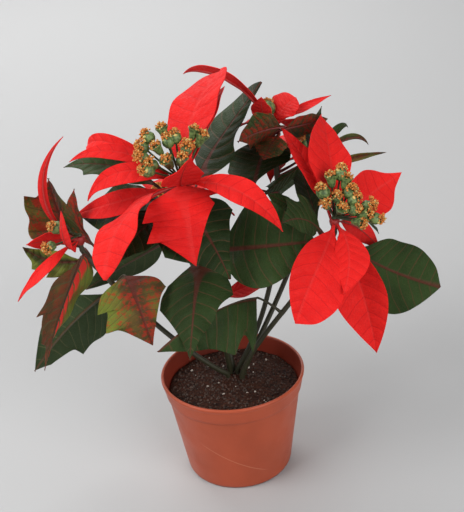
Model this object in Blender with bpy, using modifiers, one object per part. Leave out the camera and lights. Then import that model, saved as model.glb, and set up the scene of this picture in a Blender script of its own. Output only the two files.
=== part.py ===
"""Poinsettia in a plastic pot.

Metres, +Z up, front to -Y. The origin is the middle of the pot's underside.
Positions and lengths in the lists of blades are millimetres, angles are degrees.
"""

import math
import random
from collections import namedtuple

import bmesh
import bpy
from mathutils import Vector

MM = 0.001
GAP = 0.3

POT_HEIGHT = 98.0
POT_RIM_RADIUS = 65.0
POT_BASE_RADIUS = 46.5
COLLAR_HEIGHT = 17.0
COLLAR_STEP = 1.4
POT_WALL = 1.6
POT_FLOOR = 2.4
POT_SIDES = 32

SOIL_DEPTH_BELOW_RIM = 14.0
SOIL_SIDES = 24
SOIL_ROUGHNESS = 0.7

STEM_RADIUS = 2.2
STEM_SUNK = 22.0
STEM_POINTS = 7
STEM_NECK = 5.0
PETIOLE_RADIUS = 1.1
HUB_RADIUS = 4.5
HUB_BELOW = 4.5
HUB_ABOVE = 3.0

BLADE_THICKNESS = 0.75
BLADE_STEPS = 24
# Rows that a blade with two simple edges has.
SIMPLE_ROWS = (0, 1, 2, 3, 5, 7, 8, 9)
SIMPLE_EDGES = {"plain", "slim", "blunt", "stalked"}

# Share of the blade's length at which each cross row of points leaves the midrib.
ROWS = (0.0, 0.10, 0.20, 0.31, 0.42, 0.54, 0.66, 0.78, 0.90, 1.0)

# Half outlines: for each row, how far its edge point is shifted to the tip, as a share
# of the length, and its distance from the midrib, as a share of the half width.
OUTLINES = {
    "plain": (
        (0, .05), (0, .10), (.01, .42), (.02, .78), (.03, .96),
        (.03, 1), (.02, .86), (.01, .60), (0, .30), (0, 0),
    ),
    "slim": (
        (0, .10), (0, .14), (.01, .45), (.02, .80), (.03, 1),
        (.03, .98), (.02, .80), (.01, .52), (0, .26), (0, 0),
    ),
    "blunt": (
        (0, .05), (0, .10), (.01, .36), (.02, .70), (.03, .92),
        (.04, 1), (.05, .98), (.05, .84), (.04, .55), (0, 0),
    ),
    "stalked": (
        (0, .06), (0, .06), (0, .10), (0, .50), (.02, .85),
        (.03, 1), (.03, .95), (.02, .72), (0, .36), (0, 0),
    ),
    "broad_end": (
        (0, .05), (0, .10), (0, .30), (0, .60), (.02, .85),
        (.04, .98), (.04, 1), (0, .80), (-.04, .38), (0, 0),
    ),
    "shoulder": (
        (0, .05), (0, .48), (0, .86), (0, .94), (.05, 1),
        (.02, .80), (.02, .52), (0, .33), (0, .14), (0, 0),
    ),
    "early": (
        (0, .05), (0, .60), (0, .88), (.02, 1), (0, .78),
        (-.02, .62), (0, .44), (0, .27), (0, .12), (0, 0),
    ),
    "eared": (
        (0, .06), (0, .55), (-.01, 1), (-.10, .70), (-.12, .80),
        (-.12, .62), (-.05, .38), (0, .20), (0, .08), (0, 0),
    ),
    "two_lobes": (
        (0, .05), (0, .42), (0, .74), (.02, .90), (.01, 1),
        (-.10, .76), (.01, .98), (-.10, .68), (-.08, .36), (0, 0),
    ),
    "horned": (
        (0, .06), (0, .36), (0, .76), (.04, 1), (.08, .95),
        (.10, .82), (.26, .75), (.06, .46), (0, .24), (0, 0),
    ),
    "spiked": (
        (0, .05), (0, .16), (.02, .58), (.05, .82), (.10, 1),
        (-.02, .70), (.07, .76), (0, .40), (0, .18), (0, 0),
    ),
    "late_spike": (
        (0, .05), (0, .14), (.01, .45), (.02, .72), (.03, .88),
        (.05, .90), (.08, 1), (-.05, .62), (.02, .42), (0, 0),
    ),
    "low_spike": (
        (0, .05), (.02, .70), (.04, 1), (-.04, .66), (.02, .86),
        (.02, .72), (.01, .54), (0, .36), (0, .18), (0, 0),
    ),
}

# A blade leaves its start in the direction "around" (0 is +X, 90 is +Y), turns by "sweep"
# to its tip, starts at "climb" above level and droops by "droop". "roll" turns it about its
# midrib and "fold" lifts both halves. A bract without a start of its own grows from the hub.
Blade = namedtuple("Blade", "around sweep climb droop roll fold length left right edge_left edge_right start",
                   defaults=(None,))

Head = namedtuple("Head", "name hub foot low_bend high_bend bracts leaves cups")

HEAD_A = Head(
    name="a", hub=(-27, -20, 290), foot=(-2.0, 14.5), low_bend=(-5, 2, 135), high_bend=(-16, -12, 200),
    bracts=(
        Blade(-85, 6, -27, 41, 0, 1, 70, 29, 36, "eared", "two_lobes"),
        Blade(-94, 49, 40, -13, -2, -4, 52, 17, 18, "shoulder", "shoulder"),
        Blade(-41, 27, 26, 91, -24, 13, 100, 13, 12, "plain", "plain"),
        Blade(-164, 58, 2, 65, -28, -1, 106, 34, 36, "stalked", "stalked"),
        Blade(-175, -27, 50, 116, 47, 18, 92, 13, 7, "plain", "plain"),
        Blade(168, -18, 54, 90, 54, 10, 108, 7, 6, "plain", "plain"),
        Blade(168, -56, 53, 88, 64, 16, 118, 9, 7, "blunt", "blunt"),
        Blade(76, -29, 66, 48, 22, 11, 111, 28, 30, "blunt", "blunt"),
        Blade(51, 17, 62, 54, 30, 3, 104, 14, 13, "blunt", "plain"),
        Blade(173, -40, -11, 16, 48, 11, 114, 13, 10, "plain", "plain"),
    ),
    leaves=(
        Blade(-56, 12, -33, 32, -14, -2, 75, 32, 40, "early", "shoulder", (-26, -20, 276)),
        Blade(-102, -2, -29, 25, -7, -15, 88, 30, 37, "early", "shoulder", (-19, -10, 216)),
        Blade(157, 12, 36, 50, 20, 14, 88, 24, 16, "spiked", "plain", (-46, 2, 280)),
        Blade(75, -60, 15, -34, 5, -2, 113, 30, 21, "blunt", "early", (-14, 6, 282)),
        Blade(171, 1, -13, -3, 24, 4, 78, 30, 28, "plain", "plain", (-41, 8, 268)),
        Blade(-138, -21, -10, 38, 20, 11, 69, 21, 16, "plain", "plain", (-37, -15, 271)),
        Blade(-49, 50, 22, 21, -53, 18, 97, 41, 38, "plain", "plain", (-5, 5, 215)),
        Blade(147, 46, -34, -8, -85, 35, 95, 16, 22, "plain", "plain", (-43, 2, 232)),
    ),
    cups=((-22, 1, 42), (-27, -3, 36), (-10, 3, 44), (-15, -5, 33), (-7, -1, 38), (-28, -8, 29),
          (-21, -11, 24), (-8, -10, 23), (-25, -14, 20), (-1, 1, 40), (7, -4, 32), (13, 2, 41),
          (18, 0, 36), (3, -9, 24)),
)

HEAD_B = Head(
    name="b", hub=(96, -12, 241), foot=(8.5, 4.5), low_bend=(22, 4, 130), high_bend=(75, -6, 175),
    bracts=(
        Blade(124, -4, 64, 37, -9, 12, 93, 13, 12, "plain", "plain"),
        Blade(82, 15, 66, 36, -34, 19, 97, 29, 19, "plain", "plain"),
        Blade(50, -26, 3, -18, -54, -15, 84, 21, 22, "broad_end", "broad_end"),
        Blade(46, -21, -24, 36, 85, 16, 71, 10, 9, "plain", "plain"),
        Blade(-65, -60, -18, 32, 2, -8, 68, 17, 12, "plain", "plain"),
        Blade(-108, -41, -12, 54, 46, 14, 96, 29, 21, "blunt", "plain"),
        Blade(-54, 6, -57, 24, -50, 19, 117, 21, 24, "plain", "plain"),
    ),
    leaves=(
        Blade(-164, 18, 66, 74, 32, 8, 43, 19, 26, "plain", "spiked", (82, -29, 240)),
        Blade(1, 0, -41, -19, -39, 2, 96, 33, 40, "blunt", "plain", (106, -6, 215)),
        Blade(116, -24, 67, 44, -31, 7, 60, 17, 12, "plain", "plain", (85, 12, 226)),
        Blade(-177, -12, 35, 3, 21, 12, 35, 16, 7, "plain", "plain", (72, 15, 241)),
        Blade(-129, -43, 24, 65, 8, -51, 109, 44, 44, "low_spike", "plain", (26, -6, 173)),
        Blade(35, 12, -20, 35, 0, 8, 82, 22, 20, "shoulder", "plain", (102, 4, 212)),
    ),
    cups=((-9, -3, 29), (-7, -8, 20), (-1, 2, 36), (10, 1, 34), (7, 5, 41), (13, -3, 27), (2, -5, 24),
          (4, -10, 15), (16, -6, 21), (15, -10, 14), (27, -8, 16), (22, -12, 10), (17, -15, 5), (32, -13, 6)),
)

HEAD_C = Head(
    name="c", hub=(-117, -5, 243), foot=(-4.5, 8.0), low_bend=(-25, -4, 108), high_bend=(-78, -5, 165),
    bracts=(
        Blade(-157, -13, 40, -102, -62, 10, 105, 3, 5, "slim", "slim", (-119, -7, 244)),
        Blade(-110, 21, -21, -161, 37, 10, 60, 8, 4, "plain", "plain"),
        Blade(-168, 22, 15, 11, -63, 12, 43, 8, 13, "plain", "plain"),
        Blade(-153, -30, -17, 43, 28, 16, 75, 12, 3, "slim", "slim"),
    ),
    leaves=(
        Blade(-171, 37, -60, 4, -54, 6, 107, 32, 32, "spiked", "early", (-116, -14, 232)),
        Blade(145, 60, -38, 10, -85, 23, 118, 22, 39, "plain", "late_spike", (-98, 5, 187)),
        Blade(-73, 16, -18, 50, -3, 6, 67, 29, 35, "early", "two_lobes", (-83, -10, 207)),
        Blade(-176, -19, -15, -58, 27, 7, 57, 20, 10, "spiked", "plain", (-116, 4, 221)),
        Blade(138, -15, 26, -60, -31, -15, 70, 42, 25, "horned", "plain", (-117, 10, 228)),
        Blade(-178, 6, 58, -43, -32, -5, 57, 7, 24, "plain", "shoulder", (-107, 8, 229)),
    ),
    cups=((-16, -12, 18), (-22, -22, 6)),
)

HEAD_D = Head(
    name="d", hub=(53, 55, 308), foot=(4.5, 14.5), low_bend=(30, 18, 125), high_bend=(62, 30, 200),
    bracts=(
        Blade(170, -46, 72, 100, -56, 3, 108, 10, 4, "slim", "slim"),
        Blade(-160, 5, 60, -38, -34, 7, 26, 9, 12, "plain", "plain"),
        Blade(20, -6, 62, 40, -10, 6, 29, 20, 17, "blunt", "blunt"),
        Blade(13, 15, 28, 27, -25, 14, 58, 3, 7, "slim", "slim"),
        Blade(130, 10, 5, 70, 0, 10, 72, 17, 16, "plain", "plain"),
        Blade(85, -5, 12, 70, 0, 10, 62, 16, 16, "blunt", "plain"),
        Blade(62, -4, 5, 70, 0, 10, 52, 11, 11, "plain", "plain"),
    ),
    leaves=(
        Blade(-159, -5, 9, 32, -55, 6, 44, 23, 33, "plain", "spiked", (63, 46, 308)),
        Blade(19, -13, 1, -5, 58, 8, 44, 20, 12, "plain", "plain", (59, 47, 305)),
        Blade(-135, -7, -30, 18, -11, 3, 27, 22, 19, "plain", "plain", (58, 42, 303)),
        Blade(80, -27, 17, -26, 18, 2, 50, 36, 32, "blunt", "blunt", (33, 30, 264)),
        Blade(71, -24, 31, -20, 28, 8, 45, 8, 9, "slim", "slim", (83, 52, 282)),
        Blade(-176, -8, -30, 9, 10, 12, 48, 13, 5, "slim", "slim", (78, 25, 281)),
    ),
    cups=((-1, 9, 12), (-4, 17, 9)),
)

HEAD_E = Head(
    name="e", hub=(88, 82, 262), foot=(10.5, 11.0), low_bend=(36, 22, 135), high_bend=(85, 45, 205),
    bracts=(
        Blade(150, 10, 30, 80, 0, 10, 52, 14, 14, "plain", "plain"),
        Blade(105, -5, 35, 85, 10, 10, 80, 19, 17, "plain", "blunt"),
        Blade(68, 6, 24, 80, 0, 10, 82, 16, 16, "blunt", "plain"),
        Blade(125, 5, -5, 60, 0, 10, 70, 16, 15, "plain", "spiked"),
        Blade(82, -5, -10, 55, 0, 10, 74, 17, 17, "spiked", "plain"),
    ),
    leaves=(
        Blade(-22, 24, 28, 29, -34, 15, 64, 3, 6, "slim", "slim", (95, 80, 252)),
        Blade(4, 39, 76, 132, 66, 11, 69, 3, 5, "slim", "slim", (97, 84, 252)),
        Blade(7, 69, 85, 125, -65, 10, 69, 5, 3, "slim", "slim", (95, 86, 253)),
        Blade(110, 10, -10, 50, 0, 8, 88, 24, 22, "shoulder", "plain", (84, 90, 240)),
        Blade(51, -10, -18, 42, 0, 8, 90, 24, 24, "plain", "spiked", (93, 88, 236)),
        Blade(4, 10, -24, 35, 0, 8, 78, 20, 20, "plain", "plain", (93, 75, 231)),
    ),
    cups=((4, 6, 16), (-5, 4, 15), (0, 10, 12), (8, 12, 12)),
)

HEAD_F = Head(
    name="f", hub=(-45, 72, 232), foot=(1.0, 20.5), low_bend=(-4, 36, 130), high_bend=(-30, 60, 180),
    bracts=(
        Blade(100, 10, 30, 75, 0, 10, 78, 18, 18, "plain", "blunt"),
        Blade(145, 8, 25, 70, 0, 10, 82, 19, 17, "blunt", "plain"),
        Blade(55, -8, 25, 75, 0, 10, 78, 17, 18, "plain", "plain"),
        Blade(10, 10, 10, 60, 0, 10, 66, 15, 15, "plain", "plain"),
        Blade(-170, 10, 5, 60, 0, 10, 74, 16, 16, "plain", "spiked"),
        Blade(122, -5, -12, 55, 0, 10, 76, 17, 17, "spiked", "plain"),
        Blade(78, 6, -14, 50, 0, 10, 70, 16, 16, "plain", "plain"),
    ),
    leaves=(
        Blade(165, 8, -20, 40, 0, 8, 84, 24, 22, "shoulder", "plain", (-52, 76, 212)),
        Blade(110, 10, -25, 35, 0, 8, 86, 24, 24, "plain", "shoulder", (-44, 80, 206)),
        Blade(60, -8, -20, 40, 0, 8, 84, 22, 22, "spiked", "plain", (-36, 76, 208)),
        Blade(15, 6, -25, 30, 0, 8, 70, 20, 20, "plain", "plain", (-34, 66, 200)),
    ),
    cups=((4, 2, 16), (-6, 3, 15), (0, 9, 13), (-3, -5, 13)),
)

HEADS = (HEAD_A, HEAD_B, HEAD_C, HEAD_D, HEAD_E, HEAD_F)

# A bract that grows alone, far down on the stem of head A.
LOW_BRACT = Blade(-9, 14, 24, 10, -20, 14, 50, 10, 13, "plain", "plain", (-6, 4, 170))

COLOURS = {
    "pot": ((0.52, 0.11, 0.045), 0.38),
    "soil": ((0.055, 0.022, 0.014), 0.95),
    "leaf": ((0.035, 0.095, 0.03), 0.6),
    "bract": ((0.75, 0.018, 0.012), 0.65),
    "cup": ((0.16, 0.28, 0.07), 0.55),
}


def clear_scene():
    for old in list(bpy.data.objects):
        bpy.data.objects.remove(old, do_unlink=True)


def make_material(name):
    colour, roughness = COLOURS[name]
    material = bpy.data.materials.new(name)
    material.use_nodes = True
    shader = material.node_tree.nodes["Principled BSDF"]
    shader.inputs["Base Color"].default_value = (*colour, 1.0)
    shader.inputs["Roughness"].default_value = roughness
    shader.inputs["Metallic"].default_value = 0.0
    material.diffuse_color = (*colour, 1.0)
    return material


def new_collection(name):
    collection = bpy.data.collections.new(name)
    bpy.context.scene.collection.children.link(collection)
    return collection


def add_object(name, mesh, collection):
    obj = bpy.data.objects.new(name, mesh)
    collection.objects.link(obj)
    return obj


def evaluated_mesh(obj):
    """A mesh copy of the object with its modifiers or bevel applied, its loose caps welded."""
    bpy.context.view_layer.update()
    depsgraph = bpy.context.evaluated_depsgraph_get()
    mesh = bpy.data.meshes.new_from_object(obj.evaluated_get(depsgraph))
    shape = bmesh.new()
    shape.from_mesh(mesh)
    bmesh.ops.remove_doubles(shape, verts=shape.verts, dist=0.00001)
    bmesh.ops.triangulate(shape, faces=shape.faces)
    shape.to_mesh(mesh)
    shape.free()
    return mesh


def settle(obj):
    """Replace the object's mesh by its evaluated one and drop its modifiers."""
    mesh = evaluated_mesh(obj)
    obj.modifiers.clear()
    obj.data = mesh
    return obj


def tube(name, points, radius, sides_level, collection):
    """A round tube along the points, in millimetres, as a closed mesh."""
    curve = bpy.data.curves.new(name, "CURVE")
    curve.dimensions = "3D"
    curve.bevel_depth = radius * MM
    curve.bevel_resolution = sides_level
    curve.use_fill_caps = True
    spline = curve.splines.new("POLY")
    spline.points.add(len(points) - 1)
    for point, place in zip(spline.points, points):
        point.co = (place[0] * MM, place[1] * MM, place[2] * MM, 1.0)
    guide = add_object(name + "_line", curve, collection)
    mesh = evaluated_mesh(guide)
    matrix = guide.matrix_world.copy()
    bpy.data.objects.remove(guide, do_unlink=True)
    obj = add_object(name, mesh, collection)
    obj.matrix_world = matrix
    return obj


def bezier(start, low, high, end, share):
    """A point of the curve from start to end that is drawn to low and high."""
    rest = 1.0 - share
    terms = (rest ** 3, 3 * rest ** 2 * share, 3 * rest * share ** 2, share ** 3)
    return sum((Vector(point) * term for point, term in zip((start, low, high, end), terms)), Vector())


def frame_at(blade, share):
    """Heading, side and normal of the blade at this share of its length."""
    around = math.radians(blade.around + blade.sweep * share)
    climb = math.radians(blade.climb - blade.droop * share)
    roll = math.radians(blade.roll)
    level = math.cos(climb)
    heading = Vector((level * math.cos(around), level * math.sin(around), math.sin(climb)))
    level_side = Vector((math.sin(around), -math.cos(around), 0.0))
    level_normal = level_side.cross(heading)
    side = level_side * math.cos(roll) + level_normal * math.sin(roll)
    normal = level_normal * math.cos(roll) - level_side * math.sin(roll)
    return heading, side, normal


def midrib(blade, start):
    """Points at equal steps along the midrib."""
    points = [Vector(start)]
    for step in range(BLADE_STEPS):
        heading = frame_at(blade, (step + 0.5) / BLADE_STEPS)[0]
        points.append(points[-1] + heading * (blade.length / BLADE_STEPS))
    return points


def point_on(points, share):
    place = min(max(share, 0.0), 1.0) * BLADE_STEPS
    step = min(int(place), BLADE_STEPS - 1)
    return points[step].lerp(points[step + 1], place - step)


def blade_object(name, blade, start, collection):
    """One thin solid blade: a grid shaped row by row, split into triangles, then thickened."""
    simple = {blade.edge_left, blade.edge_right} <= SIMPLE_EDGES
    rows = SIMPLE_ROWS if simple else range(len(ROWS))
    shape = bmesh.new()
    bmesh.ops.create_grid(shape, x_segments=2, y_segments=len(rows) - 1, size=1.0)
    shape.verts.ensure_lookup_table()
    line = midrib(blade, start)
    fold = math.radians(blade.fold)
    for index, vert in enumerate(shape.verts):
        row = rows[index // 3]
        across = index % 3 - 1
        outline = OUTLINES[blade.edge_left if across < 0 else blade.edge_right]
        shift, width = outline[row]
        reach = (blade.left if across < 0 else blade.right) * width * abs(across)
        share = min(ROWS[row] + shift * abs(across), 1.0)
        _, side, normal = frame_at(blade, share)
        out = side * (across * reach * math.cos(fold)) + normal * (reach * math.sin(fold))
        vert.co = (point_on(line, share) + out) * MM
    bmesh.ops.remove_doubles(shape, verts=shape.verts, dist=0.00001)
    bmesh.ops.triangulate(shape, faces=shape.faces)
    mesh = bpy.data.meshes.new(name)
    shape.to_mesh(mesh)
    shape.free()
    obj = add_object(name, mesh, collection)
    thicken = obj.modifiers.new("thickness", "SOLIDIFY")
    thicken.thickness = BLADE_THICKNESS * MM
    thicken.offset = 0.0
    return settle(obj)


def fuse(base, repeats):
    """Join a collection of closed solids to the base and remove the collection."""
    union = base.modifiers.new("fuse", "BOOLEAN")
    union.operation = "UNION"
    union.operand_type = "COLLECTION"
    union.collection = repeats
    union.solver = "EXACT"
    settle(base)
    for obj in list(repeats.objects):
        bpy.data.objects.remove(obj, do_unlink=True)
    bpy.data.collections.remove(repeats)
    return base


def cylinder(name, centre, radius, height, sides, collection):
    mesh = bpy.data.meshes.new(name)
    shape = bmesh.new()
    bmesh.ops.create_cone(shape, cap_ends=True, segments=sides, radius1=radius * MM, radius2=radius * MM,
                          depth=height * MM)
    bmesh.ops.translate(shape, verts=shape.verts, vec=Vector(centre) * MM)
    shape.to_mesh(mesh)
    shape.free()
    return add_object(name, mesh, collection)


def turned(name, profile, sides, collection):
    """A solid turned about Z from a profile of (radius, height) in millimetres."""
    mesh = bpy.data.meshes.new(name)
    shape = bmesh.new()
    verts = [shape.verts.new((radius * MM, 0.0, height * MM)) for radius, height in profile]
    for first, second in zip(verts, verts[1:]):
        shape.edges.new((first, second))
    shape.to_mesh(mesh)
    shape.free()
    obj = add_object(name, mesh, collection)
    screw = obj.modifiers.new("turn", "SCREW")
    screw.steps = sides
    screw.render_steps = sides
    screw.use_merge_vertices = True
    screw.merge_threshold = 0.00001
    return settle(obj)


def wall_radius(height):
    """Outer radius of the pot's tapered body at this height."""
    top = POT_HEIGHT - COLLAR_HEIGHT
    body_top = POT_RIM_RADIUS - 3.2 - COLLAR_STEP
    return POT_BASE_RADIUS + 1.5 + (body_top - POT_BASE_RADIUS - 1.5) * height / top


def inner_radius(height):
    """Inner radius of the body at this height: the wall is thicker towards the floor."""
    top = POT_HEIGHT - COLLAR_HEIGHT
    return wall_radius(height) - POT_WALL - 1.0 * (top - height) / (top - POT_FLOOR)


def fill_radius(height):
    """Radius of the fill, clear of the flats of the pot's inner wall."""
    return inner_radius(height) * math.cos(math.pi / POT_SIDES) - GAP


def make_pot(collection):
    """The moulded pot: tapered body, collar with a lip, flat underside with a rounded foot."""
    collar = POT_HEIGHT - COLLAR_HEIGHT
    inner_top = POT_RIM_RADIUS - 2.6
    profile = (
        (0.0, POT_FLOOR),
        (inner_radius(POT_FLOOR), POT_FLOOR),
        (inner_radius(collar), collar),
        (inner_top - 0.8, POT_HEIGHT - 3.0),
        (inner_top, POT_HEIGHT - 0.6),
        (inner_top + 0.8, POT_HEIGHT),
        (POT_RIM_RADIUS - 0.7, POT_HEIGHT),
        (POT_RIM_RADIUS, POT_HEIGHT - 0.8),
        (POT_RIM_RADIUS - 0.4, POT_HEIGHT - 3.2),
        (wall_radius(collar) + COLLAR_STEP, collar + 0.8),
        (wall_radius(collar), collar),
        (wall_radius(4.0), 4.0),
        (wall_radius(1.2) - 0.8, 1.2),
        (POT_BASE_RADIUS, 0.0),
        (0.0, 0.0),
    )
    return turned("pot", profile, POT_SIDES, collection)


def soil_surface(x, y):
    """Height of the heaped granules above the level of the soil, in millimetres."""
    wave = math.sin(0.31 * x + 0.8) * math.cos(0.27 * y - 0.4) + 0.6 * math.sin(0.53 * x - 0.61 * y)
    distance = math.hypot(x, y) / 58.0
    return SOIL_ROUGHNESS * wave - 1.2 * distance ** 4


def make_soil(cutters, collection):
    """The granular fill, a plug with a plain hole for each stem."""
    level = POT_HEIGHT - SOIL_DEPTH_BELOW_RIM
    floor = POT_FLOOR + GAP
    edge = fill_radius(level - 4.0)
    profile = ((0.0, level), (edge * 0.5, level), (edge * 0.8, level), (edge, level),
               (fill_radius(floor) - 0.2, floor), (0.0, floor))
    soil = turned("soil", profile, SOIL_SIDES, collection)
    for vert in soil.data.vertices:
        if abs(vert.co.z - level * MM) < 0.0001:
            vert.co.z += soil_surface(vert.co.x / MM, vert.co.y / MM) * MM
    for head in HEADS:
        bottom = level - STEM_SUNK - GAP
        centre = (head.foot[0], head.foot[1], bottom + 20.0)
        cutter = cylinder("hole_" + head.name, centre, STEM_RADIUS + GAP, 40.0, 12, cutters)
        cutter.hide_render = True
        cutter.display_type = "WIRE"
        cut = soil.modifiers.new("hole_" + head.name, "BOOLEAN")
        cut.operation = "DIFFERENCE"
        cut.object = cutter
        cut.solver = "EXACT"
    return soil


def stem_points(head):
    """Points along a stem, from the bottom of its hole to just below the hub."""
    level = POT_HEIGHT - SOIL_DEPTH_BELOW_RIM
    mouth = (head.foot[0], head.foot[1], level + 4.0)
    top = Vector((head.hub[0], head.hub[1], head.hub[2] - HUB_BELOW - GAP))
    neck = top - Vector((0.0, 0.0, STEM_NECK))
    shares = [step / STEM_POINTS for step in range(STEM_POINTS + 1)]
    bends = [bezier(mouth, head.low_bend, head.high_bend, neck, share) for share in shares]
    return [Vector((head.foot[0], head.foot[1], level - STEM_SUNK))] + bends + [top]


def stem_at(points, height):
    """The point of the stem at this height."""
    for low, high in zip(points, points[1:]):
        if low.z <= height <= high.z:
            return low.lerp(high, (height - low.z) / (high.z - low.z))
    return points[-1].copy()


def petiole_points(blade, number, stem):
    """From the stem, up and out to the blade's start, and on under its midrib."""
    start = Vector(blade.start)
    away = math.hypot(start.x - stem_at(stem, start.z).x, start.y - stem_at(stem, start.z).y)
    root = stem_at(stem, min(start.z - 0.5 * away - 2.0, stem[-1].z - STEM_NECK - 2.5 * number))
    heading = frame_at(blade, 0.0)[0]
    rise = start - heading * min(away * 0.4, 10.0)
    return [root, root.lerp(rise, 0.6), start + heading * 1.5]


def make_leafy_stem(head, collection):
    """One stem with its petioles and leaves, fused."""
    points = stem_points(head)
    stem = tube("leafy_stem_" + head.name, points, STEM_RADIUS, 1, collection)
    repeats = new_collection("leaves_" + head.name)
    for number, blade in enumerate(head.leaves):
        route = petiole_points(blade, number, points)
        tube(f"petiole_{head.name}_{number}", route, PETIOLE_RADIUS, 0, repeats)
        blade_object(f"leaf_{head.name}_{number}", blade, blade.start, repeats)
    return fuse(stem, repeats)


def bract_start(head, blade, number):
    """Bracts grow in a spiral round the hub, each a little below the one before."""
    if blade.start:
        return blade.start
    around = math.radians(blade.around)
    reach = HUB_RADIUS - 1.5
    return (head.hub[0] + reach * math.cos(around), head.hub[1] + reach * math.sin(around),
            head.hub[2] - 0.35 * number + 1.0)


def make_bracts(head, collection):
    """The red blades of one flower head, fused with the hub they grow from."""
    centre = (head.hub[0], head.hub[1], head.hub[2] + (HUB_ABOVE - HUB_BELOW) / 2)
    hub = cylinder("bracts_" + head.name, centre, HUB_RADIUS, HUB_ABOVE + HUB_BELOW, 10, collection)
    repeats = new_collection("blades_" + head.name)
    for number, blade in enumerate(head.bracts):
        blade_object(f"bract_{head.name}_{number}", blade, bract_start(head, blade, number), repeats)
    return fuse(hub, repeats)


def make_low_bract(collection):
    """The single bract below the heads; its petiole ends just off the stem."""
    start = Vector(LOW_BRACT.start)
    stem = stem_at(stem_points(HEAD_A), start.z - 4.0)
    away = Vector((start.x - stem.x, start.y - stem.y, 0.0)).normalized()
    heading = frame_at(LOW_BRACT, 0.0)[0]
    root = stem + away * (STEM_RADIUS + GAP + 0.6)
    petiole = tube("low_bract", [root, start + heading * 3.0], 0.9, 0, collection)
    repeats = new_collection("low_bract_blade")
    blade_object("low_bract_blade", LOW_BRACT, start, repeats)
    return fuse(petiole, repeats)


def make_cup(name, place, root, draw, collection):
    """One cyathium: a stalk, a green cup with a waist, and the uneven tuft that stands out of it."""
    place = Vector(place)
    axis = (place - root).normalized()
    tube(name + "_stalk", [root, place - axis * 3.2], 0.8, 0, collection)
    turn = Vector((0, 0, 1)).rotation_difference(axis)
    profile = ((0.0, -4.6), (3.6, -0.6), (2.7, 3.4), (3.9, 5.8), (0.0, 8.8))
    cup = turned(name, profile, 6, collection)
    for vert in cup.data.vertices:
        if vert.co.z > 4.5 * MM:
            vert.co *= draw.uniform(0.85, 1.2)
        vert.co = turn @ vert.co + place * MM


def make_cyathia(head, draw, collection):
    """The small green flowers in the middle of one head, on a common base."""
    base_height = 2.4
    foot = Vector(head.hub) + Vector((0, 0, HUB_ABOVE + GAP + base_height / 2))
    base = cylinder("cyathia_" + head.name, foot, 2.3, base_height, 8, collection)
    repeats = new_collection("cups_" + head.name)
    for number, offset in enumerate(head.cups):
        place = Vector(head.hub) + Vector(offset)
        make_cup(f"cup_{head.name}_{number}", place, foot + Vector((0, 0, 0.2)), draw, repeats)
    return fuse(base, repeats)


def finish(obj, material):
    obj.data.materials.clear()
    obj.data.materials.append(material)
    obj.data.shade_smooth()
    obj.data.set_sharp_from_angle(angle=math.radians(40))


def main():
    clear_scene()
    plant = new_collection("poinsettia")
    cutters = new_collection("cutters")
    materials = {name: make_material(name) for name in COLOURS}
    draw = random.Random(7)
    finish(make_pot(plant), materials["pot"])
    finish(make_soil(cutters, plant), materials["soil"])
    finish(make_low_bract(plant), materials["bract"])
    for head in HEADS:
        finish(make_leafy_stem(head, plant), materials["leaf"])
        finish(make_bracts(head, plant), materials["bract"])
        finish(make_cyathia(head, draw, plant), materials["cup"])


main()
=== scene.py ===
import math
import random
from collections import namedtuple

import bpy
import numpy as np
from mathutils import Matrix, Vector, noise


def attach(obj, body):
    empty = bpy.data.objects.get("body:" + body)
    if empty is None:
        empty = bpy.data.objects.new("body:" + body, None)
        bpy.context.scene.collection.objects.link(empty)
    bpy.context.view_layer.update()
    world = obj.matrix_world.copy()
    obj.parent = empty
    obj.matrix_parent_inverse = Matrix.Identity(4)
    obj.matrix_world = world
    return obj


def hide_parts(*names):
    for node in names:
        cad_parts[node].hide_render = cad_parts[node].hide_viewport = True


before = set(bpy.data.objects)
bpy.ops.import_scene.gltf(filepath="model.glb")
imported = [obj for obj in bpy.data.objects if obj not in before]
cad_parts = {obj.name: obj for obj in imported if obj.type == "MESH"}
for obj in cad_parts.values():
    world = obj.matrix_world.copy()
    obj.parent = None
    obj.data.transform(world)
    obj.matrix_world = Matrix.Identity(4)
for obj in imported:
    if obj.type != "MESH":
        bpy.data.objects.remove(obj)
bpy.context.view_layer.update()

MM = 0.001
bpy.ops.object.select_all(action="DESELECT")


# The pot is a grower's pot, 130 mm across, moulded in terracotta-coloured plastic. Its thin
# tapered body carries a deeper collar with a rolled lip, and it stands on a rounded foot ring.
RIM_RADIUS = 65.0
POT_HEIGHT = 98.0
COLLAR_BOTTOM = 81.0
FOOT_RADIUS = 46.5
WALL = 1.6
FLOOR = 2.4
BASE_RADIUS = 48.0
FLARE = 12.4
INSIDE_RADIUS = 47.4
INSIDE_SLOPE = 0.1555
POT_RED = (0.40, 0.070, 0.027)
# Painted shade: the colour of the pot's inside and underside, darkened where shade falls.
POT_PAINTED_SHADE = (0.24, 0.033, 0.017)
SCRATCH = (0.62, 0.26, 0.15)


def wall_radius(height):
    """Outer radius of the body at a height, in millimetres."""
    return BASE_RADIUS + FLARE * height / COLLAR_BOTTOM


def finish_mesh(name, angle):
    """Merge doubles, turn faces outwards, shade smooth up to an angle and name the piece."""
    piece = bpy.context.object
    bpy.ops.object.mode_set(mode="EDIT")
    bpy.ops.mesh.select_all(action="SELECT")
    bpy.ops.mesh.remove_doubles(threshold=0.000002)
    bpy.ops.mesh.normals_make_consistent(inside=False)
    bpy.ops.object.mode_set(mode="OBJECT")
    bpy.ops.object.shade_smooth_by_angle(angle=math.radians(angle))
    piece.name = name
    return piece


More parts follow.
